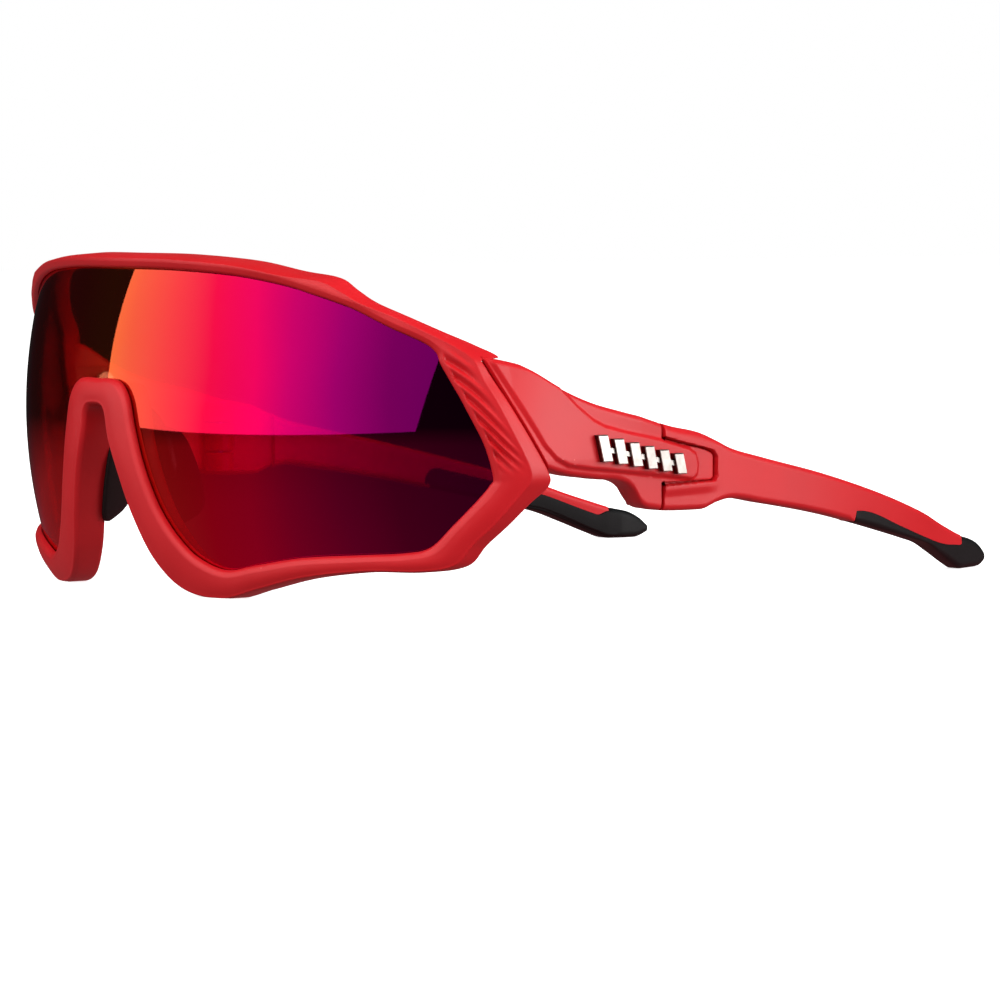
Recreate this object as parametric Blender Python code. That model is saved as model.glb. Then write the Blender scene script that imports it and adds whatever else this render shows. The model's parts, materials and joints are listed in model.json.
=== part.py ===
"""Wraparound sport sunglasses: full-rim shield front, screwed-on end pieces and two folding temples.

The wearer's left is +X, the temples run towards +Y and the front faces -Y.
The glasses stand on the two lobes of the rim and on the temple tips, at Z = 0.
"""
import math

import bmesh
import bpy
from mathutils import Matrix, Vector

mm = 0.001

# Driving dimensions, in millimetres
wrap_radius = 85.5            # horizontal radius of the lens surface at its middle height
wrap_vertical_radius = 86.5   # how quickly that radius shrinks towards brow and cheek
wrap_mid_height = 29.5
lens_thickness = 1.8
middle_y = 77.78              # the whole object's middle, measured from the lens's front
weld_distance = 0.003         # vertices closer than this are one vertex after a cut
piece_gap = 0.3               # clearance left between neighbouring pieces
rim_face = 1.6                # how far the rim's face stands in front of the lens surface
groove_depth = 1.3            # how far the lens edge reaches into the rim
seam_height = 22.5            # the seam between rim and end piece passes through this height ...
seam_position = 41.1          # ... at this distance behind the front ...
seam_lean = 0.514             # ... and leans forward by this much for each millimetre of height
fold_position = 66.7          # the plane where the temple meets the end piece
hinge_x = 64.6
hinge_y = 66.9
knuckle_radius = 2.7
hinge_bore = 1.1
pin_radius = 0.8
knuckle_low = 15.3
knuckle_high = 28.3
middle_knuckle_low = 19.2
middle_knuckle_high = 24.4
tongue_end = 78.6
temple_end = 157.2
arm_end = 148.4               # the red arm ends here, inside the rubber cap
grip_start = 112.0            # where the rubber strip of the temple starts
stations_per_half = 78        # cross-sections round one half of the rim

# Half outline of the rim, from the middle of the brow round to the middle of the nose arch:
# (opening x, opening z, crest x, crest z, depth behind the crest, depth behind the opening)
rim_outline = [
    (0.0, 55.3, 0.0, 57.7, 5.5, 5.5),
    (14.0, 55.2, 14.2, 57.6, 5.5, 5.5),
    (27.7, 54.4, 28.2, 56.8, 5.0, 5.5),
    (37.5, 52.8, 38.2, 55.2, 4.0, 5.5),
    (43.0, 51.2, 44.5, 53.9, 2.6, 5.5),
    (46.8, 49.9, 48.4, 52.3, 1.8, 5.5),
    (49.9, 48.6, 51.2, 50.8, 1.8, 5.5),
    (54.7, 45.9, 56.1, 48.1, 1.8, 5.5),
    (59.1, 43.5, 60.6, 45.4, 2.0, 5.5),
    (60.9, 41.8, 63.6, 42.9, 3.2, 5.5),
    (61.6, 40.0, 65.7, 40.6, 3.4, 5.0),
    (63.0, 37.0, 67.1, 37.2, 2.0, 5.0),
    (64.6, 33.3, 68.9, 32.9, 2.0, 5.0),
    (66.7, 27.0, 70.9, 26.2, 2.3, 5.0),
    (67.4, 21.6, 71.6, 21.8, 2.6, 5.0),
    (66.9, 19.9, 70.4, 18.7, 2.4, 5.0),
    (65.2, 17.2, 67.3, 13.8, 2.0, 4.5),
    (62.3, 13.4, 64.3, 10.1, 1.9, 4.5),
    (59.0, 9.6, 61.7, 6.7, 1.9, 4.0),
    (55.5, 8.6, 57.2, 5.6, 2.2, 4.0),
    (50.0, 8.2, 50.4, 5.4, 2.8, 4.0),
    (41.1, 7.5, 41.0, 4.2, 3.2, 4.0),
    (33.0, 6.0, 32.4, 1.8, 3.4, 4.5),
    (26.8, 4.9, 25.2, -0.05, 3.6, 4.5),
    (21.6, 6.8, 17.4, 1.3, 4.0, 4.5),
    (18.0, 10.2, 12.1, 6.2, 4.4, 5.0),
    (14.9, 15.0, 8.6, 13.6, 5.0, 5.2),
    (12.2, 21.7, 6.2, 20.3, 5.4, 5.4),
    (10.3, 28.0, 3.9, 26.4, 5.6, 5.6),
    (8.2, 33.6, 2.4, 30.4, 6.0, 6.0),
    (4.6, 36.1, 1.1, 31.7, 6.5, 6.5),
    (0.0, 36.5, 0.0, 32.0, 6.5, 6.5),
]

# Side profile of end piece and temple: (y, top z, bottom z)
side_profile = [
    (28.0, 41.6, 26.0),
    (32.6, 40.6, 24.5),
    (36.2, 39.9, 23.8),
    (38.9, 39.0, 23.2),
    (45.3, 35.8, 21.4),
    (51.7, 33.2, 20.5),
    (58.5, 31.5, 19.5),
    (60.2, 31.1, 18.3),
    (62.0, 30.7, 15.9),
    (65.5, 29.7, 14.8),
    (69.0, 28.8, 14.5),
    (76.0, 27.4, 14.4),
    (79.5, 26.0, 15.5),
    (82.6, 24.7, 16.0),
    (90.3, 22.8, 14.9),
    (105.5, 19.4, 12.3),
    (122.2, 15.0, 8.6),
    (131.5, 12.2, 6.4),
    (136.4, 10.6, 4.1),
    (141.6, 8.6, 1.6),
    (149.0, 6.0, 0.0),
    (153.5, 4.9, 0.0),
    (156.0, 3.6, 0.3),
    (157.2, 2.4, 1.0),
]
# Outer face seen from above: (y, x)
outer_line = [(26, 70.5), (34, 72.2), (42, 72.9), (55, 72.2), (70, 70.8), (90, 68.8), (110, 66.0),
              (130, 61.0), (147, 54.5), (157.2, 50.6)]
# Thickness seen from above: (y, thickness)
thickness_line = [(26, 5.2), (42, 5.0), (60, 5.4), (70, 5.4), (84, 4.6), (110, 4.2), (140, 4.6), (151, 4.4),
                  (157.2, 2.2)]
screw_heights = (33.0, 28.2)  # the two screws that hold each end piece
tab_inner = 65.1              # the rim's tab lies between these two planes ...
tab_outer = 66.7
tab_length = 9.5              # ... and reaches this far behind the seam
inner_face = 67.1             # inner face of the end piece beside the tab
# Top of the rubber strip seen on the outside of the temple: (y, z)
strip_line = [(112.0, 3.0), (113.6, 5.0), (114.0, 12.4), (117.8, 12.0), (126.9, 9.1), (134.8, 6.7),
              (141.6, 5.0), (147.5, 4.4)]


def spline(values, amount):
    """Catmull-Rom interpolation of equal tuples, amount from 0 to 1."""
    place = min(max(amount, 0.0), 1.0) * (len(values) - 1)
    index = min(int(place), len(values) - 2)
    t = place - index
    before = values[max(index - 1, 0)]
    start = values[index]
    end = values[index + 1]
    after = values[min(index + 2, len(values) - 1)]
    result = []
    for a, b, c, d in zip(before, start, end, after):
        result.append(0.5 * (2 * b + (c - a) * t + (2 * a - 5 * b + 4 * c - d) * t * t
                             + (3 * b - a - 3 * c + d) * t ** 3))
    return result


def along(table, y, column=1):
    """Linear reading of a (y, value...) table."""
    if y <= table[0][0]:
        return table[0][column]
    for first, second in zip(table, table[1:]):
        if y <= second[0]:
            share = (y - first[0]) / (second[0] - first[0])
            return first[column] + share * (second[column] - first[column])
    return table[-1][column]


def surface_point(x, z, offset=0.0):
    """A point of the lens's front surface at (x, z), moved out along the surface normal."""
    radius = wrap_radius - (z - wrap_mid_height) ** 2 / (2 * wrap_vertical_radius)
    cosine = math.sqrt(max(radius * radius - x * x, 0.0))
    normal = Vector((x / radius, -cosine / radius, (z - wrap_mid_height) / wrap_vertical_radius))
    normal.normalize()
    return Vector((x, wrap_radius - cosine, z)) + normal * offset


def material(name, colour, roughness, metallic=0.0, alpha=1.0):
    made = bpy.data.materials.get(name)
    if made is None:
        made = bpy.data.materials.new(name)
        made.use_nodes = True
        shader = made.node_tree.nodes["Principled BSDF"]
        shader.inputs["Base Color"].default_value = (*colour, 1.0)
        shader.inputs["Roughness"].default_value = roughness
        shader.inputs["Metallic"].default_value = metallic
        shader.inputs["Alpha"].default_value = alpha
        made.diffuse_color = (*colour, 1.0)
    return made


def new_object(name, mesh_source, surface):
    """Turn a bmesh into an object; everything stays in millimetres until the pieces are whole."""
    bmesh.ops.triangulate(mesh_source, faces=mesh_source.faces[:])
    bmesh.ops.recalc_face_normals(mesh_source, faces=mesh_source.faces)
    if mesh_source.calc_volume(signed=True) < 0.0:
        bmesh.ops.reverse_faces(mesh_source, faces=mesh_source.faces)
    mesh = bpy.data.meshes.new(name)
    mesh_source.to_mesh(mesh)
    mesh_source.free()
    made = bpy.data.objects.new(name, mesh)
    bpy.context.scene.collection.objects.link(made)
    if surface:
        mesh.materials.append(surface)
    mesh.shade_smooth()
    mesh.set_sharp_from_angle(angle=math.radians(32))
    return made


def skin(sections, closed):
    """Join equal cross-sections into one body; an open run gets end caps."""
    body = bmesh.new()
    rows = [[body.verts.new(point) for point in section] for section in sections]
    count = len(rows[0])
    pairs = list(zip(rows, rows[1:]))
    if closed:
        pairs.append((rows[-1], rows[0]))
    for first, second in pairs:
        for k in range(count):
            after = (k + 1) % count
            body.faces.new((first[k], first[after], second[after], second[k]))
    if not closed:
        for row in (rows[0], rows[-1]):
            middle = body.verts.new(sum((vert.co for vert in row), Vector()) / count)
            for k in range(count):
                body.faces.new((row[k], row[(k + 1) % count], middle))
    return body


def cutter(name, mesh_source):
    made = new_object(name, mesh_source, None)
    made.hide_render = True
    made.hide_viewport = False
    made.display_type = "WIRE"
    return made


def apply_boolean(target, other, operation):
    """Run one exact boolean and keep the result as the object's mesh."""
    change = target.modifiers.new(operation.lower(), "BOOLEAN")
    change.operation = operation
    change.solver = "EXACT"
    change.object = other
    evaluated = target.evaluated_get(bpy.context.evaluated_depsgraph_get())
    result = bpy.data.meshes.new_from_object(evaluated)
    target.modifiers.remove(change)
    clean = bmesh.new()
    clean.from_mesh(result)
    bmesh.ops.remove_doubles(clean, verts=clean.verts, dist=weld_distance)
    bmesh.ops.dissolve_degenerate(clean, edges=clean.edges, dist=weld_distance)
    bmesh.ops.triangulate(clean, faces=clean.faces[:])
    if clean.calc_volume(signed=True) < 0.0:
        bmesh.ops.reverse_faces(clean, faces=clean.faces)
    clean.to_mesh(result)
    clean.free()
    target.data = result
    bpy.data.objects.remove(other)


def cylinder(radius, low, high, x, y, segments=24):
    """Upright cylinder as a bmesh."""
    body = bmesh.new()
    turn = Matrix.Translation((x, y, (low + high) / 2))
    bmesh.ops.create_cone(body, cap_ends=True, segments=segments, radius1=radius, radius2=radius,
                          depth=high - low, matrix=turn)
    return body


def tube(outer, inner, low, high, x, y, segments=24):
    """Upright ring with a bore as a bmesh."""
    sections = []
    for k in range(segments):
        angle = 2 * math.pi * k / segments
        direction = Vector((math.cos(angle), math.sin(angle), 0.0))
        section = []
        for radius, z in ((outer, low), (outer, high), (inner, high), (inner, low)):
            section.append(Vector((x, y, z)) + direction * radius)
        sections.append(section)
    return skin(sections, True)


def box(low, high):
    body = bmesh.new()
    size = Vector(high) - Vector(low)
    middle = (Vector(high) + Vector(low)) / 2
    bmesh.ops.create_cube(body, size=1.0, matrix=Matrix.Translation(middle) @ Matrix.Diagonal((*size, 1.0)))
    return body


def seam_y(z):
    return seam_position - seam_lean * (z - seam_height)


def mirrored_outline():
    """All stations round the rim: right half from the arch up, then left half from the brow down."""
    half = [spline(rim_outline, k / stations_per_half) for k in range(stations_per_half + 1)]
    other = [[-row[0], row[1], -row[2], *row[3:]] for row in half[1:-1]]
    return half + list(reversed(other))


def rim_section(row):
    """Cross-section of the rim at one station, as ten points."""
    inner_x, inner_z, crest_x, crest_z, crest_depth, inner_depth = row
    inner = Vector((inner_x, inner_z))
    crest = Vector((crest_x, crest_z))
    width = (crest - inner).length
    outward = (crest - inner) / width

    def at(distance, offset, back=0.0):
        place = inner + outward * distance
        point = surface_point(place.x, place.y, offset)
        point.y += back
        return point

    lip_back = -lens_thickness - 2 * piece_gap
    crest_back = at(width, rim_face - 0.6, crest_depth + 0.6)
    inner_back = at(0.9, lip_back, inner_depth - 2.6)
    middle_back = at(width * 0.75, lip_back, inner_depth - 2.6)
    # at the sides the back of the rim is cut along the seam with the end piece
    side = min(max((abs(inner_x) - 60.5) / 1.5, 0.0), 1.0) * min(max((inner_z - 18.0) / 4.0, 0.0), 1.0)
    for point in (crest_back, middle_back):
        point.y += side * (seam_y(point.z) - point.y)
    return [
        at(0.0, 0.45), at(0.7, rim_face), at(width - 0.5, rim_face + 0.1), at(width, rim_face - 0.6),
        crest_back, middle_back, inner_back,
        at(0.7, lip_back), at(groove_depth + 0.5, lip_back), at(groove_depth + 0.5, piece_gap),
        at(0.0, piece_gap),
    ]


def make_front_frame(red):
    """The rim, swept round the lens opening, with a drilled tab at each side."""
    frame = new_object("front_frame", skin([rim_section(row) for row in mirrored_outline()], True), red)
    for side in (-1, 1):
        sections = []
        for height in (25.5, 35.7):
            front = seam_y(height) - 1.8
            back = seam_y(height) + tab_length
            sections.append([Vector((side * x, y, height)) for x, y in
                             ((tab_inner, front), (tab_outer, front), (tab_outer, back), (tab_inner, back))])
        apply_boolean(frame, cutter("tab", skin(sections, False)), "UNION")
        for height in screw_heights:
            bore = across_cylinder(hinge_bore, tab_inner - 1.0, tab_outer + 1.0, screw_y(height), height, side)
            apply_boolean(frame, cutter("bore", bore), "DIFFERENCE")
    apply_boolean(frame, cutter("floor", box((-45, -10, -5), (45, 40, 0))), "DIFFERENCE")
    return frame


def screw_y(height):
    return seam_y(height) + 5.4


def across_cylinder(radius, inner, outer, y, z, side, segments=18):
    """Cylinder along X between two distances from the middle plane, as a bmesh."""
    body = bmesh.new()
    place = Matrix.Translation((side * (inner + outer) / 2, y, z)) @ Matrix.Rotation(math.pi / 2, 4, "Y")
    bmesh.ops.create_cone(body, cap_ends=True, segments=segments, radius1=radius, radius2=radius,
                          depth=outer - inner, matrix=place)
    return body


def make_lens(mirror):
    """The shield: its outline lies in the rim's groove and its sheet follows the wrap surface."""
    reach = groove_depth - 0.1
    body = bmesh.new()
    outline = []
    for row in mirrored_outline():
        inner = Vector(row[0:2])
        outward = (Vector(row[2:4]) - inner).normalized()
        edge = inner + outward * reach
        outline.append(body.verts.new((edge.x, 0.0, edge.y)))
    body.faces.new(outline)
    for x in range(-65, 66, 5):
        cut(body, (x, 0, 0), (1, 0, 0))
    for z in range(8, 56, 6):
        cut(body, (0, 0, z), (0, 0, 1))
    front = list(body.verts)
    extruded = bmesh.ops.extrude_face_region(body, geom=body.faces[:])
    back = [item for item in extruded["geom"] if isinstance(item, bmesh.types.BMVert)]
    for vert in front:
        vert.co = surface_point(vert.co.x, vert.co.z, 0.0)
    for vert in back:
        vert.co = surface_point(vert.co.x, vert.co.z, -lens_thickness)
    return new_object("shield_lens", body, mirror)


def cut(body, point, normal):
    bmesh.ops.bisect_plane(body, geom=body.verts[:] + body.edges[:] + body.faces[:],
                           plane_co=point, plane_no=normal)


def outer_x(y, z):
    """Outer face of end piece and temple; near the rim it leans in with the rim's side."""
    fade = min(max((62.0 - y) / 26.0, 0.0), 1.0)
    return along(outer_line, y) - 0.25 * fade * max(z - 24.0, 0.0)


def slab_section(top, bottom, outer_inset=0.0, inner_at=None, corner=0.8):
    """Twelve-sided section between a top point (y, z) and a bottom point (y, z)."""
    points = []
    height = top[1] - bottom[1]

    def at(share, inward):
        y = bottom[0] + (top[0] - bottom[0]) * share
        z = bottom[1] + height * share
        outer = outer_x(y, z) - outer_inset
        inner = outer - along(thickness_line, y) if inner_at is None else min(inner_at, outer - 2.0)
        x = outer + (inner - outer) * inward
        return Vector((x, y, z))

    edge = min(corner / height, 0.3)
    for share, inward in ((0.0, 0.16), (edge, 0.0), (0.47, 0.0), (0.8, 0.0), (1 - edge, 0.0), (1.0, 0.16),
                          (1.0, 0.84), (1 - edge, 1.0), (0.8, 1.0), (0.47, 1.0), (edge, 1.0), (0.0, 0.84)):
        points.append(at(share, inward))
    return points


def make_end_piece(name, red):
    """Wing between rim and temple, with tongue, knuckles and two screw pilots."""
    sections = []
    gap = piece_gap + 0.3
    for y_top, y_bottom, inner in ((seam_y(40.4) + gap, seam_y(22.3) + gap, inner_face), (37, 44, inner_face),
                                   (42, 47.5, inner_face), (47, 51, inner_face), (52, 54.5, 66.8),
                                   (57, 58, 66.1), (60, 60.2, 65.9), (62, 62, 65.8), (66.4, 66.4, 65.8)):
        top = (y_top, along(side_profile, y_top, 1))
        bottom = (y_bottom, along(side_profile, y_bottom, 2))
        sections.append(slab_section(top, bottom, inner_at=inner))
    wing = new_object(name, skin(sections, False), red)
    tongue_sections = []
    for y, top, bottom in ((60.0, 26.6, 20.4), (66.4, 26.0, 19.6), (75.6, 23.9, 19.5), (77.6, 23.3, 19.7),
                           (tongue_end, 22.4, 20.4)):
        outer = along(outer_line, y) - 0.08
        tongue_sections.append([Vector((x, y, z)) for x, z in
                                ((outer, bottom), (outer, top), (outer - 2.0, top), (outer - 2.0, bottom))])
    apply_boolean(wing, cutter("tongue", skin(tongue_sections, False)), "UNION")
    for low, high in ((knuckle_low, middle_knuckle_low - piece_gap),
                      (middle_knuckle_high + piece_gap, knuckle_high)):
        apply_boolean(wing, cutter("knuckle", cylinder(knuckle_radius, low, high, hinge_x, hinge_y)), "UNION")
    clear = cylinder(knuckle_radius + piece_gap, middle_knuckle_low - piece_gap + 0.05,
                     middle_knuckle_high + piece_gap - 0.05, hinge_x, hinge_y)
    apply_boolean(wing, cutter("clear", clear), "DIFFERENCE")
    apply_boolean(wing, cutter("bore", cylinder(hinge_bore, 10, 35, hinge_x, hinge_y)), "DIFFERENCE")
    apply_boolean(wing, cutter("nut_seat", cylinder(2.0, 10, knuckle_low + 1.6, hinge_x, hinge_y)), "DIFFERENCE")
    apply_boolean(wing, cutter("head_seat", cylinder(2.0, knuckle_high - 1.0, 35, hinge_x, hinge_y)), "DIFFERENCE")
    for height in screw_heights:
        pilot = across_cylinder(hinge_bore, inner_face - 1.0, 70.8, screw_y(height), height, 1)
        apply_boolean(wing, cutter("pilot", pilot), "DIFFERENCE")
    return wing


def make_end_piece_screw(name, height, steel):
    """Pan-head screw along X: head inside the tab, shank in the end piece."""
    y = screw_y(height)
    screw = new_object(name, across_cylinder(1.8, 63.9, tab_inner - piece_gap, y, height, 1), steel)
    shank = across_cylinder(0.75, tab_inner - piece_gap - 0.2, 70.3, y, height, 1, 16)
    apply_boolean(screw, cutter("shank", shank), "UNION")
    slot = box((63.85 - 0.45, y - 1.3, height - 0.25), (63.85 + 0.45, y + 1.3, height + 0.25))
    apply_boolean(screw, cutter("slot", slot), "DIFFERENCE")
    return screw


def make_badge(name, metal):
    """Plain ornament: slanted bars on a thin spine, following the end piece's outer face."""
    bars = 6
    start = 50.6
    pitch = 3.45

    def slice_at(y, low, high, stand):
        outer = along(outer_line, y) + piece_gap
        return [Vector((outer + depth, y, z)) for depth, z in
                ((0.1, low), (0.1, high), (stand, high), (stand, low))]

    def middle(y):
        return 26.0 - 0.185 * (y - 50.1)

    steps = [start + 20.0 * k / 10 for k in range(11)]
    badge = new_object(name, skin([slice_at(y, middle(y) - 0.5, middle(y) + 0.5, 0.5) for y in steps], False),
                       metal)
    for k in range(bars):
        y = start + 0.35 + pitch * k
        half = 2.2 - 0.12 * k
        sections = []
        for share in (-1.0, 1.0):
            low_y = y + (0.9 if share < 0 else 0.0)
            z = middle(y + 0.9) + half * share
            outer = along(outer_line, low_y) + piece_gap
            sections.append([Vector((outer + depth, low_y + width, z)) for depth, width in
                             ((0.0, 0.0), (0.0, 1.5), (0.9, 1.4), (0.9, 0.1))])
        apply_boolean(badge, cutter("bar", skin(sections, False)), "UNION")
    return badge


def make_temple(name, red):
    """Arm with the slot for the tongue and the middle knuckle; its lower inner side is lined with rubber."""
    hinge = (hinge_x, hinge_y, 0.0)
    stations = arm_stations(fold_position + 0.3, arm_end)
    arm_sections = [temple_section(y) for y in stations]
    arm = new_object(name, skin(arm_sections, False), red)
    for low, high in ((10.0, middle_knuckle_low + 0.05), (middle_knuckle_high - 0.05, 35.0)):
        apply_boolean(arm, cutter("clear", cylinder(knuckle_radius + piece_gap, low, high, hinge_x, hinge_y)),
                      "DIFFERENCE")
    middle = cylinder(knuckle_radius, middle_knuckle_low, middle_knuckle_high, hinge_x, hinge_y)
    apply_boolean(arm, cutter("knuckle", middle), "UNION")
    apply_boolean(arm, cutter("bore", cylinder(hinge_bore, 10, 35, hinge_x, hinge_y)), "DIFFERENCE")
    slot_sections = []
    for y, top, bottom in ((66.0, 26.4, 19.1), (66.9, 26.3, 19.1), (75.8, 24.35, 19.1), (77.8, 23.8, 19.2),
                           (tongue_end + 0.4, 22.8, 20.0)):
        outer = along(outer_line, y)
        slot_sections.append([Vector((x_at, y, z)) for x_at, z in
                              ((outer + 1, bottom), (outer + 1, top), (outer - 2.4, top),
                               (outer - 2.4, bottom))])
    apply_boolean(arm, cutter("slot", skin(slot_sections, False)), "DIFFERENCE")
    set_origin(arm, hinge)
    return arm


def arm_stations(start, end):
    """Places along the arm where its outline bends, between start and end."""
    places = [row[0] for row in side_profile + strip_line + outer_line]
    places = {y for y in places if start + 0.2 < y < end - 0.2}
    return [start, *sorted(places), end]


def temple_section(y, grow=0.0):
    """Section of the red arm; grow makes the same shape larger, to cut the rubber clear of it."""
    top = along(side_profile, y, 1) + grow
    bottom = max(along(side_profile, y, 2), along(strip_line, y) + 0.15) - grow
    if y < 112.0:
        bottom = along(side_profile, y, 2) - grow
    inner = along(outer_line, y) - along(thickness_line, y)
    inner = max(inner, 65.8 if y < 80 else 0.0) - grow
    corner = 0.8 if grow == 0.0 else 0.05
    return slab_section((y, top), (y, bottom), outer_inset=-grow, inner_at=inner, corner=corner)


def set_origin(target, point):
    """Move the object's origin to point (millimetres) and leave its mesh where it is."""
    place = Vector(point)
    target.data.transform(Matrix.Translation(target.location - place))
    target.location = place


def add_mirrored(source, name):
    """The same piece for the other side of the face."""
    body = bmesh.new()
    body.from_mesh(source.data)
    bmesh.ops.scale(body, verts=body.verts, vec=(-1.0, 1.0, 1.0))
    bmesh.ops.reverse_faces(body, faces=body.faces)
    mesh = source.data.copy()
    body.to_mesh(mesh)
    body.free()
    made = bpy.data.objects.new(name, mesh)
    made.location = source.location * Vector((-1.0, 1.0, 1.0))
    bpy.context.scene.collection.objects.link(made)


def to_metres():
    """Bring every finished piece from millimetres to metres, with the origin under the middle."""
    for piece in bpy.data.objects:
        piece.location.y -= middle_y
        piece.data.transform(Matrix.Scale(mm, 4))
        piece.location *= mm


def make_temple_tip(name, rubber):
    """Grip strip along the lower edge and end cap in one moulding."""
    sections = []
    for y in arm_stations(grip_start, temple_end):
        shrink = 0.6 if y == grip_start else 0.0
        sections.append(slab_section((y, along(side_profile, y, 1) - shrink),
                                     (y, along(side_profile, y, 2) + shrink)))
    tip = new_object(name, skin(sections, False), rubber)
    inside = [temple_section(y, piece_gap) for y in arm_stations(grip_start - 8.0, arm_end)]
    last = [point + Vector((0.0, piece_gap, 0.0)) for point in inside.pop()]
    inside.append(last)
    apply_boolean(tip, cutter("arm", skin(inside, False)), "DIFFERENCE")
    set_origin(tip, (hinge_x, hinge_y, 0.0))
    return tip


def make_hinge_screw(name, steel):
    """Hinge pin: a slotted head in the upper knuckle and a plain shank through all three."""
    screw = new_object(name, cylinder(1.6, knuckle_high - 0.7, knuckle_high + 0.1, hinge_x, hinge_y, 20), steel)
    shank = cylinder(pin_radius, knuckle_low + 0.3, knuckle_high - 0.5, hinge_x, hinge_y, 16)
    apply_boolean(screw, cutter("shank", shank), "UNION")
    slot = box((hinge_x - 1.2, hinge_y - 0.25, knuckle_high - 0.3), (hinge_x + 1.2, hinge_y + 0.25, knuckle_high + 0.5))
    apply_boolean(screw, cutter("slot", slot), "DIFFERENCE")
    return screw


def make_hinge_nut(name, steel):
    """Threaded insert in the lower knuckle, round the end of the hinge screw."""
    ring = tube(1.7, hinge_bore, knuckle_low, knuckle_low + 1.3, hinge_x, hinge_y)
    return new_object(name, ring, steel)


def make_nose_bracket(black):
    """Strap behind the nose arch that carries the two pads."""
    sections = []
    count = 24
    for k in range(count + 1):
        share = 2.0 * k / count - 1.0
        angle = share * math.radians(100)
        # a tall arch: half an ellipse on two spreading legs
        x = 7.6 * math.sin(angle) + share * 2.2
        z = 21.5 + 9.4 * math.cos(angle)
        y = 7.5 + 0.7 * abs(share)
        across = Vector((math.sin(angle), 0.0, math.cos(angle)))
        centre = Vector((x, y, z))
        sections.append([centre - across * 1.3, centre + across * 1.3,
                         centre + across * 1.3 + Vector((0, 1.3, 0)), centre - across * 1.3 + Vector((0, 1.3, 0))])
    return new_object("nose_bracket", skin(sections, False), black)


def make_nose_pad(name, rubber):
    """Soft pad: a rounded paddle behind the nose leg, turned towards the nose."""
    sections = []
    count = 8
    for k in range(count + 1):
        share = k / count
        z = 29.0 - 16.5 * share
        half = 1.6 + 2.6 * math.sin(math.pi * (0.12 + 0.8 * share))
        x = 5.6 + 6.6 * share ** 1.1
        y = 13.1 + 1.4 * share
        lean = Vector((0.42, 0.91, 0.0))
        thick = Vector((-0.91, 0.42, 0.0)) * 0.8
        ring = []
        for j in range(12):
            angle = 2 * math.pi * j / 12
            point = Vector((x, y, z)) + lean * (half * math.cos(angle)) + thick * math.sin(angle)
            ring.append(point)
        sections.append(ring)
    return new_object(name, skin(sections, False), rubber)


def main():
    for old in list(bpy.data.objects):
        bpy.data.objects.remove(old)
    red = material("matte_red", (0.62, 0.012, 0.016), 0.5)
    mirror = material("mirror_lens", (0.30, 0.004, 0.05), 0.06, 0.4, 0.85)
    rubber = material("black_rubber", (0.012, 0.012, 0.013), 0.75)
    black = material("black_plastic", (0.015, 0.015, 0.016), 0.45)
    steel = material("screw_steel", (0.55, 0.55, 0.56), 0.3, 1.0)
    metal = material("badge_metal", (0.62, 0.60, 0.58), 0.25, 1.0)
    make_front_frame(red)
    make_lens(mirror)
    make_nose_bracket(black)
    left = [
        make_nose_pad("nose_pad_left", rubber),
        make_end_piece("left_end_piece", red),
        make_badge("left_badge", metal),
        make_hinge_screw("left_hinge_screw", steel),
        make_hinge_nut("left_hinge_nut", steel),
        make_temple("left_temple", red),
        make_temple_tip("left_temple_tip", rubber),
    ]
    for level, height in zip(("upper", "lower"), screw_heights):
        left.append(make_end_piece_screw(f"left_end_piece_screw_{level}", height, steel))
    for piece in left:
        add_mirrored(piece, piece.name.replace("left", "right"))
    to_metres()


main()
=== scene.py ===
# Wraparound sport sunglasses: the visible pieces and finishes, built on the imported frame.
import json
import math

import bmesh
import bpy
from mathutils import Matrix, Vector


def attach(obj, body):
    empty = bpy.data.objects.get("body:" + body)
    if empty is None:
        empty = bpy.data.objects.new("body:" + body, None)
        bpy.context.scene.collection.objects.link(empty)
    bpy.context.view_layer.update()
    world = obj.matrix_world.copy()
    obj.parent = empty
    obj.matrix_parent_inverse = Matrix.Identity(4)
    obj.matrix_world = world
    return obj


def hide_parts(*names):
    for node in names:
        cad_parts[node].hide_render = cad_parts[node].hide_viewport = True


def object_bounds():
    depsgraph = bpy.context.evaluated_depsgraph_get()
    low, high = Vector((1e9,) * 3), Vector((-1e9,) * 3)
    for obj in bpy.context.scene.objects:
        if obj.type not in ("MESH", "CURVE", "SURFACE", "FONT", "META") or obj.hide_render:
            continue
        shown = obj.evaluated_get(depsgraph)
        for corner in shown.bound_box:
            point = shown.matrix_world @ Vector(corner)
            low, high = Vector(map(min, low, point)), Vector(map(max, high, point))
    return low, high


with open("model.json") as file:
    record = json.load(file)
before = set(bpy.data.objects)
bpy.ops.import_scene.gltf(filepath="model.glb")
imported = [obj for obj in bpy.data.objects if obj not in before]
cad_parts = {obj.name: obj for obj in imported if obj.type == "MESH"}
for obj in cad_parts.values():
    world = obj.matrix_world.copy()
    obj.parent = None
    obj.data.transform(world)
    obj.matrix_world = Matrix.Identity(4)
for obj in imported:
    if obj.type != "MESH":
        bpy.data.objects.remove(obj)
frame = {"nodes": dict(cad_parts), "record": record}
cadLow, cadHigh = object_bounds()
print("frame loaded")

mm = 0.001
joints = {joint["name"]: joint for joint in frame["record"]["behaviour"]["joints"]}
hinge = Vector(joints["left_temple_fold"]["pos_m"]) / mm     # hinge axis, millimetres
frontToHinge = 66.9                                          # lens front to hinge axis
originShift = Vector((0.0, hinge.y - frontToHinge, 0.0))     # shapes below count Y from the lens front


def smooth(low, high, value):      # eased step from 0 at low to 1 at high
    t = min(max((value - low) / (high - low), 0.0), 1.0)
    return t * t * (3.0 - 2.0 * t)


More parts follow.
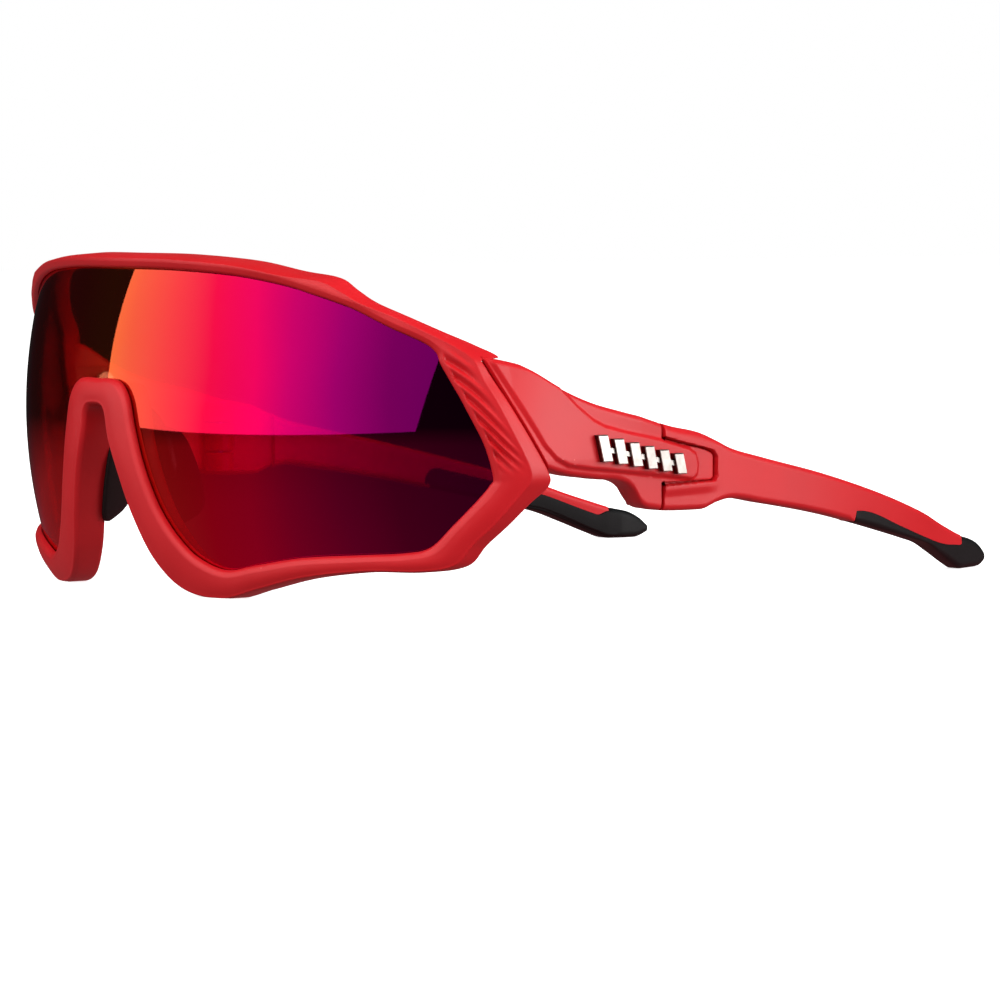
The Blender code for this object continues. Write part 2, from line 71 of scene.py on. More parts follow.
def splineRow(rows, amount):       # Catmull-Rom through equal rows of numbers, amount 0 to 1
    place = min(max(amount, 0.0), 1.0) * (len(rows) - 1)
    index = min(int(place), len(rows) - 2)
    t = place - index
    before, start = rows[max(index - 1, 0)], rows[index]
    end, after = rows[index + 1], rows[min(index + 2, len(rows) - 1)]
    return [0.5 * (2 * b + (c - a) * t + (2 * a - 5 * b + 4 * c - d) * t * t
                   + (3 * b - a - 3 * c + d) * t ** 3)
            for a, b, c, d in zip(before, start, end, after)]


def curveAt(table, y, column=1):   # smooth reading of a (y, value, ...) table, no overshoot
    if y <= table[0][0]:
        return table[0][column]
    if y >= table[-1][0]:
        return table[-1][column]
    k = next(i for i in range(len(table) - 1) if y <= table[i + 1][0])

    def slope(i):
        return (table[i + 1][column] - table[i][column]) / (table[i + 1][0] - table[i][0])

    middle = slope(k)
    first = 0.0 if k and slope(k - 1) * middle <= 0 else (middle + slope(k - 1)) / 2 if k else middle
    last = k + 2 < len(table)
    second = 0.0 if last and slope(k + 1) * middle <= 0 else (middle + slope(k + 1)) / 2 if last else middle
    width = table[k + 1][0] - table[k][0]
    t = (y - table[k][0]) / width
    low, high = table[k][column], table[k + 1][column]
    limit = 3 * abs(middle)
    first = max(min(first, limit), -limit)
    second = max(min(second, limit), -limit)
    return ((2 * t ** 3 - 3 * t * t + 1) * low + (t ** 3 - 2 * t * t + t) * width * first
            + (3 * t * t - 2 * t ** 3) * high + (t ** 3 - t * t) * width * second)


def roundedLoop(corners, steps=4, most=0.45):
    # corners are (point, radius); each becomes a small arc, of at most this share of the sides beside it
    loop = []
    count = len(corners)
    for k, (point, radius) in enumerate(corners):
        if radius == 0.0:
            loop.append(point)
            continue
        before = corners[k - 1][0] - point
        after = corners[(k + 1) % count][0] - point
        reach = min(radius, before.length * most, after.length * most)
        start = point + before.normalized() * reach
        end = point + after.normalized() * reach
        for j in range(steps):
            t = j / (steps - 1)
            loop.append(start * (1 - t) ** 2 + point * 2 * t * (1 - t) + end * t * t)
    return loop


def skin(body, sections, closed=False):    # joins equal sections into one closed body
    rows = [[body.verts.new(point) for point in section] for section in sections]
    count = len(rows[0])
    pairs = list(zip(rows, rows[1:])) + ([(rows[-1], rows[0])] if closed else [])
    for first, second in pairs:
        for k in range(count):
            body.faces.new((first[k], first[(k + 1) % count], second[(k + 1) % count], second[k]))
    if not closed:
        for row in (rows[0], rows[-1]):
            middle = body.verts.new(sum((vert.co for vert in row), Vector()) / count)
            for k in range(count):
                body.faces.new((row[k], row[(k + 1) % count], middle))


def makePiece(name, body, materials, rider, nodes=(), sharp=35, mirror=False):
    # body is a bmesh in millimetres from the lens front; the piece lands in the row frame
    bmesh.ops.translate(body, verts=body.verts, vec=originShift)
    bmesh.ops.scale(body, verts=body.verts, vec=(-mm if mirror else mm, mm, mm))
    bmesh.ops.recalc_face_normals(body, faces=body.faces)
    mesh = bpy.data.meshes.new(name)
    body.to_mesh(mesh)
    body.free()
    for material in materials:
        mesh.materials.append(material)
    mesh.shade_smooth()
    mesh.set_sharp_from_angle(angle=math.radians(sharp))
    piece = bpy.data.objects.new(name, mesh)
    bpy.context.scene.collection.objects.link(piece)
    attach(piece, rider)
    if nodes:
        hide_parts(*nodes)
    return piece


def bothSides(stem, build, materials, rider, node, sharp=35):
    # rider "front" stays "front"; "arm" becomes left_arm or right_arm
    for word in ("left", "right"):
        body = bmesh.new()
        build(body)
        target = rider if rider == "front" else word + "_" + rider
        nodes = [node.format(word)] if node else []
        makePiece(word + stem, body, materials, target, nodes, sharp, mirror=word == "right")


def srgb(code):                    # "e02030" to linear red, green, blue, alpha
    parts = [int(code[k:k + 2], 16) / 255 for k in (0, 2, 4)]
    return tuple(c / 12.92 if c <= 0.04045 else ((c + 0.055) / 1.055) ** 2.4 for c in parts) + (1.0,)


def addNode(tree, kind, settings=None, links=None):
    node = tree.nodes.new(kind)
    for key, value in (settings or {}).items():
        if isinstance(key, int) or key in node.inputs:
            node.inputs[key].default_value = value
        else:
            setattr(node, key, value)
    for key, source in (links or {}).items():
        tree.links.new(source, node.inputs[key])
    return node


def newMaterial(name, shaderSettings):
    material = bpy.data.materials.new(name)
    material.use_nodes = True
    tree = material.node_tree
    shader = tree.nodes["Principled BSDF"]
    for key, value in shaderSettings.items():
        shader.inputs[key].default_value = value
    place = addNode(tree, "ShaderNodeTexCoord").outputs["Object"]
    return material, tree, shader, place


def perMetre(sizeMm):              # texture scale that gives features of this size
    return 1.0 / (sizeMm * mm)


def rampNode(tree, source, stops):
    ramp = addNode(tree, "ShaderNodeValToRGB", links={"Fac": source})
    elements = ramp.color_ramp.elements
    for k, (position, colour) in enumerate(stops):
        element = elements[k] if k < 2 else elements.new(position)
        element.position = position
        element.color = colour
    return ramp


def matteCoatedNylon():
    # moulded nylon under a soft-touch matte coat: saturated red, broad soft sheen, very fine orange peel
    material, tree, shader, place = newMaterial("matteCoatedNylon", {
        "IOR": 1.47, "Coat Weight": 0.04, "Coat Roughness": 0.35, "Sheen Weight": 0.04,
        "Sheen Roughness": 0.5})
    shader.inputs["Sheen Tint"].default_value = srgb("ff9a8c")
    cloud = addNode(tree, "ShaderNodeTexNoise", {"Scale": perMetre(14), "Detail": 3.0}, {"Vector": place})
    grit = addNode(tree, "ShaderNodeTexNoise", {"Scale": perMetre(0.35), "Detail": 2.0}, {"Vector": place})
    speck = addNode(tree, "ShaderNodeTexVoronoi", {"Scale": perMetre(5.5)}, {"Vector": place})
    colour = rampNode(tree, cloud.outputs["Fac"], [(0.3, srgb("cf0f1a")), (0.7, srgb("d8151f"))])
    dust = rampNode(tree, speck.outputs["Distance"], [(0.0, (1, 1, 1, 1)), (0.035, (0, 0, 0, 1))])
    mixed = addNode(tree, "ShaderNodeMix", {"data_type": "RGBA"})
    tree.links.new(dust.outputs["Color"], mixed.inputs[0])
    tree.links.new(colour.outputs["Color"], mixed.inputs[6])
    mixed.inputs[7].default_value = srgb("ea5a55")
    tree.links.new(mixed.outputs[2], shader.inputs["Base Color"])
    wear = addNode(tree, "ShaderNodeMapRange", {"To Min": 0.40, "To Max": 0.50},
                   {"Value": cloud.outputs["Fac"]})
    tree.links.new(wear.outputs["Result"], shader.inputs["Roughness"])
    bump = addNode(tree, "ShaderNodeBump", {"Strength": 0.12, "Distance": 0.00005},
                   {"Height": grit.outputs["Fac"]})
    tree.links.new(bump.outputs["Normal"], shader.inputs["Normal"])
    return material


def mirrorCoatedPolycarbonate():
    # polycarbonate with a vacuum-laid mirror coat: orange at the nose, purple at the temples, and
    # clear enough to show what is behind it where nothing bright is mirrored
    material, tree, shader, place = newMaterial("mirrorCoatedPolycarbonate", {
        "Metallic": 0.6, "IOR": 1.586, "Transmission Weight": 1.0})
    split = addNode(tree, "ShaderNodeSeparateXYZ", links={"Vector": place})
    side = addNode(tree, "ShaderNodeMath", {"operation": "ABSOLUTE"}, {0: split.outputs["X"]})
    drift = addNode(tree, "ShaderNodeTexNoise", {"Scale": perMetre(30), "Detail": 1.0}, {"Vector": place})
    wander = addNode(tree, "ShaderNodeMath", {"operation": "MULTIPLY_ADD", 1: 0.006, 2: -0.003},
                     {0: drift.outputs["Fac"]})
    across = addNode(tree, "ShaderNodeMath", {"operation": "ADD"},
                     {0: side.outputs[0], 1: wander.outputs[0]})
    share = addNode(tree, "ShaderNodeMapRange", {"From Min": 0.0, "From Max": 0.066},
                    {"Value": across.outputs[0]})
    colour = rampNode(tree, share.outputs["Result"], [
        (0.0, srgb("f07030")), (1.0, srgb("590050")), (0.13, srgb("ec5434")), (0.27, srgb("ee383c")),
        (0.40, srgb("ec0042")), (0.52, srgb("e70059")), (0.62, srgb("c10063")), (0.74, srgb("950063")),
        (0.85, srgb("710055"))])
    tree.links.new(colour.outputs["Color"], shader.inputs["Base Color"])
    tree.links.new(colour.outputs["Color"], shader.inputs["Specular Tint"])
    haze = addNode(tree, "ShaderNodeTexNoise", {"Scale": perMetre(3), "Detail": 4.0}, {"Vector": place})
    gloss = addNode(tree, "ShaderNodeMapRange", {"To Min": 0.015, "To Max": 0.035},
                    {"Value": haze.outputs["Fac"]})
    tree.links.new(gloss.outputs["Result"], shader.inputs["Roughness"])
    return material


def tintedPolycarbonate():
    # the lens's bare inner face: polished rose-tinted polycarbonate with faint wipe marks
    material, tree, shader, place = newMaterial("tintedPolycarbonate", {
        "IOR": 1.586, "Transmission Weight": 1.0})
    wipe = addNode(tree, "ShaderNodeTexNoise", {"Scale": perMetre(4), "Detail": 4.0}, {"Vector": place})
    colour = rampNode(tree, wipe.outputs["Fac"], [(0.3, srgb("f28a90")), (0.7, srgb("f8959a"))])
    tree.links.new(colour.outputs["Color"], shader.inputs["Base Color"])
    gloss = addNode(tree, "ShaderNodeMapRange", {"To Min": 0.02, "To Max": 0.05},
                    {"Value": wipe.outputs["Fac"]})
    tree.links.new(gloss.outputs["Result"], shader.inputs["Roughness"])
    return material


def softRubber():
    # injection-moulded soft rubber: near black, dull, with a fine sandy grain
    material, tree, shader, place = newMaterial("softRubber", {"IOR": 1.42, "Specular IOR Level": 0.38})
    cloud = addNode(tree, "ShaderNodeTexNoise", {"Scale": perMetre(8), "Detail": 3.0}, {"Vector": place})
    grain = addNode(tree, "ShaderNodeTexNoise", {"Scale": perMetre(0.25), "Detail": 2.0}, {"Vector": place})
    colour = rampNode(tree, cloud.outputs["Fac"], [(0.3, srgb("08090a")), (0.7, srgb("0f1011"))])
    tree.links.new(colour.outputs["Color"], shader.inputs["Base Color"])
    dull = addNode(tree, "ShaderNodeMapRange", {"To Min": 0.52, "To Max": 0.68},
                   {"Value": grain.outputs["Fac"]})
    tree.links.new(dull.outputs["Result"], shader.inputs["Roughness"])
    bump = addNode(tree, "ShaderNodeBump", {"Strength": 0.3, "Distance": 0.00006},
                   {"Height": grain.outputs["Fac"]})
    tree.links.new(bump.outputs["Normal"], shader.inputs["Normal"])
    return material


def mouldedBlackNylon():
    # plain moulded nylon: black, satin, faint flow marks
    material, tree, shader, place = newMaterial("mouldedBlackNylon", {"IOR": 1.53})
    flow = addNode(tree, "ShaderNodeTexWave", {"Scale": perMetre(9), "Distortion": 4.0}, {"Vector": place})
    colour = rampNode(tree, flow.outputs["Fac"], [(0.2, srgb("101011")), (0.8, srgb("161617"))])
    tree.links.new(colour.outputs["Color"], shader.inputs["Base Color"])
    satin = addNode(tree, "ShaderNodeMapRange", {"To Min": 0.36, "To Max": 0.48},
                    {"Value": flow.outputs["Fac"]})
    tree.links.new(satin.outputs["Result"], shader.inputs["Roughness"])
    return material


def metalFinish(name, light, dark, roughLow, roughHigh, markMm):
    # metal whose colour and gloss wander between two values, with fine tool marks of markMm
    material, tree, shader, place = newMaterial(name, {"Metallic": 1.0})
    marks = addNode(tree, "ShaderNodeTexNoise", {"Scale": perMetre(markMm), "Detail": 3.0}, {"Vector": place})
    colour = rampNode(tree, marks.outputs["Fac"], [(0.3, srgb(dark)), (0.7, srgb(light))])
    tree.links.new(colour.outputs["Color"], shader.inputs["Base Color"])
    rough = addNode(tree, "ShaderNodeMapRange", {"To Min": roughLow, "To Max": roughHigh},
                    {"Value": marks.outputs["Fac"]})
    tree.links.new(rough.outputs["Result"], shader.inputs["Roughness"])
    bump = addNode(tree, "ShaderNodeBump", {"Strength": 0.1, "Distance": 0.00002},
                   {"Height": marks.outputs["Fac"]})
    tree.links.new(bump.outputs["Normal"], shader.inputs["Normal"])
    return material


red = matteCoatedNylon()
mirror = mirrorCoatedPolycarbonate()
tinted = tintedPolycarbonate()
rubber = softRubber()
blackNylon = mouldedBlackNylon()
steel = metalFinish("turnedSteel", "c9c9cb", "a9a9ad", 0.22, 0.34, 0.3)          # lathe-turned screws
badgeTop = metalFinish("satinChrome", "c4c0ba", "a8a49e", 0.36, 0.46, 1.2)      # satin faces
badgeSidePaintedShade = metalFinish("chromeSidesPaintedShade", "6b6058", "4a413b", 0.25, 0.4, 0.5)   # bar sides: the same chrome, made darker and browner as painted shade
print("finishes ready")


wrap = {"radius": 85.5, "verticalRadius": 86.5, "midHeight": 29.5}    # the lens's front surface
lens = {"thickness": 1.8, "edgeReach": 1.1, "gridMm": 1.3}
rim = {
    "step": 0.8,               # millimetres between sections
    "fineStep": 0.3,           # the same where the flutes are
    "face": 1.6,               # how far the face stands in front of the lens
    "gap": 0.3,                # clearance round the lens edge
    "groove": 1.8,             # how deep the lens groove goes
    "faceSteps": 26,
    "fluteDepth": 0.62,
    "flutePitch": 2.9,
    "fluteSlant": (1.5, 2.6),  # drop for each millimetre across the face, at the top and at the bottom
}
seam = {"height": 22.5, "y": 41.1, "lean": 0.514}    # slanted joint between rim and end piece
# right half, brow to nose arch: opening x and z, crest x and z, depth behind crest, depth behind opening
rimOutline = [
    (0.0, 55.3, 0.0, 57.6, 5.5, 5.5),
    (14.0, 55.2, 14.2, 57.5, 5.5, 5.5),
    (27.7, 54.4, 28.1, 56.6, 5.0, 5.5),
    (37.5, 52.8, 38.1, 54.9, 3.8, 5.5),
    (43.0, 51.2, 44.5, 53.9, 2.6, 5.5),
    (46.8, 49.9, 48.2, 51.9, 1.4, 5.5),
    (49.9, 48.6, 51.1, 50.0, 1.2, 5.5),
    (54.7, 45.9, 55.9, 47.6, 1.2, 5.5),
    (59.1, 43.5, 60.5, 44.9, 1.9, 5.5),
    (60.9, 41.8, 63.5, 42.8, 3.2, 5.5),
    (61.6, 40.0, 65.7, 40.6, 4.4, 5.0),
    (63.0, 37.0, 67.1, 37.2, 2.0, 5.0),
    (64.6, 33.3, 68.9, 32.9, 2.0, 5.0),
    (66.7, 27.0, 70.9, 26.2, 2.3, 5.0),
    (67.4, 21.6, 71.6, 21.8, 2.6, 5.0),
    (66.9, 19.9, 70.4, 18.7, 2.4, 5.0),
    (65.2, 17.2, 67.3, 13.8, 2.0, 4.5),
    (62.3, 13.4, 64.3, 10.1, 1.9, 4.5),
    (59.0, 9.6, 61.7, 6.7, 1.9, 4.0),
    (55.5, 8.6, 57.2, 5.6, 2.2, 4.0),
    (50.0, 8.2, 50.4, 5.5, 2.8, 4.0),
    (41.1, 7.5, 41.0, 4.2, 3.2, 4.0),
    (33.0, 6.0, 32.4, 1.9, 3.2, 4.5),
    (26.8, 4.9, 25.2, 0.1, 3.2, 4.5),
    (21.6, 6.8, 17.4, 1.3, 3.8, 4.5),
    (18.0, 10.2, 12.1, 6.2, 4.4, 5.0),
    (14.9, 15.0, 8.6, 13.6, 5.0, 5.2),
    (12.2, 21.7, 6.2, 20.3, 5.4, 5.4),
    (10.3, 28.0, 3.9, 26.4, 5.6, 5.6),
    (8.6, 33.6, 3.0, 30.4, 6.0, 6.0),
    (5.5, 36.3, 1.9, 31.8, 6.5, 6.5),
    (0.0, 36.5, 0.0, 32.0, 6.5, 6.5),
]


def wrapNormal(x, z):
    radius = wrap["radius"] - (z - wrap["midHeight"]) ** 2 / (2 * wrap["verticalRadius"])
    cosine = math.sqrt(max(radius * radius - x * x, 0.0))
    rise = (z - wrap["midHeight"]) / wrap["verticalRadius"]
    return Vector((x / radius, -cosine / radius, rise)).normalized()


def wrapPoint(x, z, offset=0.0):
    radius = wrap["radius"] - (z - wrap["midHeight"]) ** 2 / (2 * wrap["verticalRadius"])
    cosine = math.sqrt(max(radius * radius - x * x, 0.0))
    return Vector((x, wrap["radius"] - cosine, z)) + wrapNormal(x, z) * offset


def seamY(z):
    return seam["y"] - seam["lean"] * (z - seam["height"])


def rimRows():
    half = []
    spans = len(rimOutline) - 1
    for k in range(spans):
        start, end = rimOutline[k], rimOutline[k + 1]
        span = max(math.hypot(end[0] - start[0], end[1] - start[1]),
                   math.hypot(end[2] - start[2], end[3] - start[3]))
        fluted = start[0] > 60.0 and end[1] > 17.0
        steps = math.ceil(span / (rim["fineStep"] if fluted else rim["step"]))
        half += [splineRow(rimOutline, (k + j / steps) / spans) for j in range(steps)]
    half.append(list(rimOutline[-1]))
    other = [[-row[0], row[1], -row[2], *row[3:]] for row in half[1:-1]]
    return half + other[::-1]


def fluteHeight(x, z, distance, width):    # slanted flutes on the rim's side face, fading at both ends
    window = smooth(21.5, 25.5, z) * (1 - smooth(39.5, 42.5, z)) * smooth(57, 61, abs(x))
    if window == 0.0:
        return 0.0
    across = distance / width
    fade = smooth(0.06, 0.16, across) * (1 - smooth(0.45, 0.86, across))
    topSlant, lowSlant = rim["fluteSlant"]
    slant = lowSlant + (topSlant - lowSlant) * smooth(26, 40, z)
    phase = (-z - slant * distance) / rim["flutePitch"]
    wave = phase % 1.0
    shape = wave / 0.62 if wave < 0.62 else (1.0 - wave) / 0.38      # long rise, short fall
    return -rim["fluteDepth"] * window * fade * (0.5 - 0.5 * math.cos(math.pi * shape))


def rimLoop(row):
    openX, openZ, crestX, crestZ, crestDepth, innerDepth = row
    opening = Vector((openX, openZ))
    across = Vector((crestX, crestZ)) - opening
    width = across.length
    outward = across / width
    face, lipBack = rim["face"], -lens["thickness"] - 2 * rim["gap"]

    def at(distance, offset, back=0.0):
        place = opening + outward * distance
        point = wrapPoint(place.x, place.y, offset)
        point.y += back
        return point

    soft = smooth(46.0, 52.0, openZ)               # the brow's front edge is rounded off more
    crestBack = at(width, face - 0.6, crestDepth + 0.6)
    innerBack = at(0.9, lipBack, innerDepth - 2.6)
    middleBack = at(width * 0.75, lipBack, innerDepth - 2.6)
    side = smooth(50.0, 55.0, abs(openX)) * smooth(19.0, 22.0, openZ) * (1.0 - smooth(40.5, 40.9, crestZ))
    for point in (crestBack, middleBack):
        point.y += side * (seamY(point.z) - point.y)
    crown = 0.18 * smooth(2.0, 4.0, width)
    facePoints = []
    for k in range(1, rim["faceSteps"]):
        share = k / rim["faceSteps"]
        distance = 0.75 + (width - 1.45 - 0.5 * soft) * share
        height = face - 0.12 + 0.12 * share + crown * math.sin(math.pi * share)
        facePoints.append((at(distance, height + fluteHeight(openX, openZ, distance, width)), 0.0))
    corners = [
        (at(0.0, 0.12), 0.1), (at(0.0, 0.95), 0.35), (at(0.62, face - 0.22), 0.3),
        *facePoints,
        (at(width - 0.5 - 0.5 * soft, face + 0.06), 0.45), (at(width, face - 0.6 - soft), 0.7),
        (crestBack, 0.8 - 0.45 * side), (middleBack, 0.9), (innerBack, 0.9), (at(0.6, lipBack), 0.4),
        (at(rim["groove"], lipBack), 0.1), (at(rim["groove"], rim["gap"]), 0.1),
    ]
    rounded = roundedLoop(corners, 4, 0.48)
    for point in rounded:              # the lobes stand flat on the ground
        point.z = max(point.z, 0.0)
    return rounded


rimBody = bmesh.new()
skin(rimBody, [rimLoop(row) for row in rimRows()], closed=True)
makePiece("rim", rimBody, [red], "front", ["front_frame"], sharp=50)

tab = {"inner": 65.1, "outer": 66.7, "low": 25.5, "high": 35.7, "reach": 9.5}


def buildTab(body):        # the tongue of the rim that the end piece's screws pass through
    sections = []
    for x in (tab["inner"], tab["outer"]):
        corners = []
        for height, back, radius in ((tab["low"], -1.8, 0.2), (tab["high"], -1.8, 0.2),
                                     (tab["high"], tab["reach"], 1.6), (tab["low"], tab["reach"], 1.6)):
            corners.append((Vector((x, seamY(height) + back, height)), radius))
        sections.append(roundedLoop(corners, 6))
    skin(body, sections)


bothSides("RimTab", buildTab, [red], "front", None, sharp=30)


def makeLens():
    body = bmesh.new()
    outline = []
    for row in rimRows():
        opening = Vector(row[0:2])
        edge = opening + (Vector(row[2:4]) - opening).normalized() * lens["edgeReach"]
        outline.append(body.verts.new((edge.x, 0.0, edge.y)))
    body.faces.new(outline)
    for axis, low, high in ((0, -70, 70), (2, 3, 58)):
        steps = int((high - low) / lens["gridMm"])
        for k in range(1, steps):
            point, normal = [0, 0, 0], [0, 0, 0]
            point[axis] = low + (high - low) * k / steps
            normal[axis] = 1
            bmesh.ops.bisect_plane(body, geom=body.verts[:] + body.edges[:] + body.faces[:],
                                   plane_co=point, plane_no=normal, dist=0.01)
    front = list(body.verts)
    back = [item for item in bmesh.ops.extrude_face_region(body, geom=body.faces[:])["geom"]
            if isinstance(item, bmesh.types.BMVert)]
    normals = {}
    for verts, offset, sign in ((front, 0.0, 1.0), (back, -lens["thickness"], -1.0)):
        for vert in verts:
            normals[vert] = wrapNormal(vert.co.x, vert.co.z) * sign
            vert.co = wrapPoint(vert.co.x, vert.co.z, offset)
    for face in body.faces:
        face.material_index = 0 if all(normals[vert].y < 0 for vert in face.verts) else 1
    body.verts.index_update()
    ordered = [normals[vert] for vert in body.verts]
    piece = makePiece("shieldLens", body, [mirror, tinted], "front", ["shield_lens"],
                      sharp=180)
    piece.data.normals_split_custom_set_from_vertices([tuple(normal) for normal in ordered])


makeLens()
print("rim and lens built")


# side profile: y, top z, bottom z
sideProfile = [
    (28.0, 42.0, 26.0), (32.6, 41.1, 24.5), (36.2, 40.4, 23.8), (38.9, 39.6, 23.2), (45.3, 36.0, 21.4),
    (51.7, 33.3, 20.5), (58.5, 31.5, 19.5), (60.2, 31.1, 18.3), (62.0, 30.7, 15.9), (65.5, 29.7, 14.8),
    (69.0, 28.8, 14.5), (76.0, 27.4, 14.4), (79.5, 26.0, 15.5), (82.6, 24.7, 16.0), (90.3, 22.8, 14.9),
    (105.5, 19.4, 12.3), (122.2, 15.0, 8.6), (131.5, 12.2, 6.5), (136.4, 10.6, 5.3), (141.0, 8.8, 3.3),
    (145.5, 7.2, 1.2), (149.0, 6.0, 0.0), (153.5, 4.9, 0.0), (156.0, 3.6, 0.3), (157.2, 2.4, 1.0)]
# outer face and thickness of wing and temple: y, millimetres
outerLine = [(26, 70.5), (34, 72.2), (42, 72.9), (55, 72.2), (70, 70.8), (90, 68.8), (110, 66.0),
             (130, 61.0), (147, 54.5), (157.2, 50.6)]
thicknessLine = [(26, 5.2), (42, 5.0), (60, 5.4), (70, 5.4), (84, 4.6), (110, 4.2), (140, 4.6),
                 (151, 4.4), (157.2, 2.2)]
# hinge knuckles: clearance, lowest and highest face, the temple's own knuckle, radius and bore
fold = {"gap": 0.3, "low": 15.3, "high": 28.3, "midLow": 19.2, "midHigh": 24.4, "knuckle": 2.7,
        "bore": 1.1}


def outerX(y, z):
    fade = min(max((62.0 - y) / 26.0, 0.0), 1.0)
    return curveAt(outerLine, y) - 0.25 * fade * max(z - 24.0, 0.0)


# raised plate of the end piece, which runs on as the tongue: outline in (y, z)
plate = {
    "height": 0.6,
    "soft": 0.55,
    "outline": [(31.9, 43.0), (43.5, 43.0), (45.3, 35.2), (48.0, 32.6), (51.0, 30.3), (53.5, 29.1),
                (58.0, 28.0), (65.7, 26.5), (72.6, 24.7), (74.1, 23.8), (74.6, 22.2), (74.4, 20.6), (73.3, 19.9),
                (66.0, 20.8), (49.5, 22.6), (45.4, 23.2), (42.8, 24.5), (40.9, 26.6)],
}


def outlineDistance(outline, y, z):        # signed distance to a closed outline, positive inside
    best, inside = 1e9, False
    for k in range(len(outline)):
        (ay, az), (by, bz) = outline[k - 1], outline[k]
        dy, dz = by - ay, bz - az
        t = min(max(((y - ay) * dy + (z - az) * dz) / (dy * dy + dz * dz), 0.0), 1.0)
        best = min(best, math.hypot(y - ay - t * dy, z - az - t * dz))
        if (az > z) != (bz > z) and y < ay + (z - az) / dz * dy:
            inside = not inside
    return best if inside else -best


def plateRelief(y, z):
    distance = outlineDistance(plate["outline"], y, z)
    return plate["height"] * (smooth(-plate["soft"], 0.15, distance) - 1.0)


def edgeRound(distance, radius):           # how far a surface falls back near an edge
    if distance >= radius:
        return 0.0
    return radius - math.sqrt(max(radius * radius - (radius - distance) ** 2, 0.0))


def slabLoop(top, bottom, relief, innerAt=None, radii=(1.1, 1.1), outerSteps=52, innerSteps=14):
    # closed section between bottom and top, both (y, z); relief moves the outer face; radii at top and bottom
    loop = []
    height = top[1] - bottom[1]

    def eased(share):                      # crowds the points towards the rounded edges
        return 0.5 - 0.5 * math.cos(math.pi * share) if share in (0.0, 1.0) else \
            0.35 * (0.5 - 0.5 * math.cos(math.pi * share)) + 0.65 * share

    for steps, outside in ((outerSteps, True), (innerSteps, False)):
        for k in range(steps + 1):
            share = eased(k / steps)
            share = share if outside else 1.0 - share
            y = bottom[0] + (top[0] - bottom[0]) * share
            z = bottom[1] + height * share
            edge = min(share, 1.0 - share) * height
            radius = radii[0] if share > 0.5 else radii[1]
            outer = outerX(y, z)
            inner = outer - curveAt(thicknessLine, y) if innerAt is None else min(innerAt, outer - 2.0)
            fall = edgeRound(edge, min(radius, height * 0.45))
            half = (outer - inner) / 2
            fall = min(fall, half * 0.92)
            if outside:
                x = outer + relief(y, z) - fall
            else:
                x = inner + fall * 0.8
            loop.append(Vector((x, y, z)))
    return loop


wing = {
    "seamGap": 0.35,           # clearance to the rim
    "sections": 150,
    # y at the top edge, y at the bottom edge, x of the inner face; the first row follows the seam
    "rows": [(41.0, 22.3, 67.1), (37, 44, 67.1), (42, 47.5, 67.1), (47, 51, 67.1), (52, 54.5, 66.8),
             (57, 58, 66.1), (60, 60.2, 65.8), (62, 62, 65.8), (66.4, 66.4, 65.8)],
}
tongue = {
    "start": 63.0, "end": 78.62, "steps": 80, "thickness": 1.15, "sunk": 0.05,
    "top": [(60, 28.0), (66.2, 26.9), (71.3, 25.7), (76.5, 24.6), (78.7, 23.9)],
    "bottom": [(60, 20.4), (66.0, 19.3), (78.7, 19.4)],
}


def buildEndPiece(body):
    seamHigh, seamLow, seamInner = wing["rows"][0]
    rows = [(seamY(seamHigh) + wing["seamGap"], seamY(seamLow) + wing["seamGap"], seamInner),
            *wing["rows"][1:]]
    rear = rows[-1][0]
    count = wing["sections"]
    sections = []
    for k in range(count + 1):
        yTop, yBottom, inner = splineRow(rows, k / count)
        yTop, yBottom = min(yTop, rear), min(yBottom, rear)
        top = (yTop, curveAt(sideProfile, yTop, 1))
        bottom = (yBottom, curveAt(sideProfile, yBottom, 2))
        lead = edgeRound(k / count * 30.0, 0.35)
        relief = (lambda y, z, lead=lead: plateRelief(y, z) - lead)
        sections.append(slabLoop(top, bottom, relief, innerAt=inner))
    skin(body, sections)
    sections = []
    for k in range(tongue["steps"] + 1):       # the tongue, with sections closer together at its end
        run = 1.0 - (1.0 - k / tongue["steps"]) ** 1.5
        y = tongue["start"] + (tongue["end"] - 0.02 - tongue["start"]) * run
        closing = edgeRound(tongue["end"] - y, 0.9)
        high = curveAt(tongue["top"], y) - closing
        low = curveAt(tongue["bottom"], y) + closing
        outer = []
        for j in range(37):
            z = low + (high - low) * j / 36
            fall = edgeRound(min(j, 36 - j) / 36 * (high - low), 0.3) + edgeRound(tongue["end"] - y, 0.3)
            outer.append(Vector((outerX(y, z) - tongue["sunk"] + plateRelief(y, z) - fall, y, z)))
        back = outerX(y, low) - tongue["thickness"]
        sections.append(outer + [Vector((back, y, high)), Vector((back, y, low))])
    skin(body, sections)
    for low, high in ((fold["low"], fold["midLow"] - fold["gap"]),
                      (fold["midHigh"] + fold["gap"], fold["high"])):
        addKnuckle(body, low, high)


def addKnuckle(body, low, high):
    loops = []
    bore = fold["bore"]
    for j in range(40):
        angle = 2 * math.pi * j / 40
        ray = Vector((math.cos(angle), math.sin(angle), 0.0))
        centre = Vector((hinge.x, frontToHinge, 0.0))
        profile = [(bore, low), (fold["knuckle"] - 0.25, low), (fold["knuckle"], low + 0.25),
                   (fold["knuckle"], high - 0.25), (fold["knuckle"] - 0.25, high), (bore, high)]
        loops.append([centre + ray * radius + Vector((0, 0, z)) for radius, z in profile])
    skin(body, loops, closed=True)


bothSides("EndPiece", buildEndPiece, [red], "front", "{}_end_piece", sharp=42)

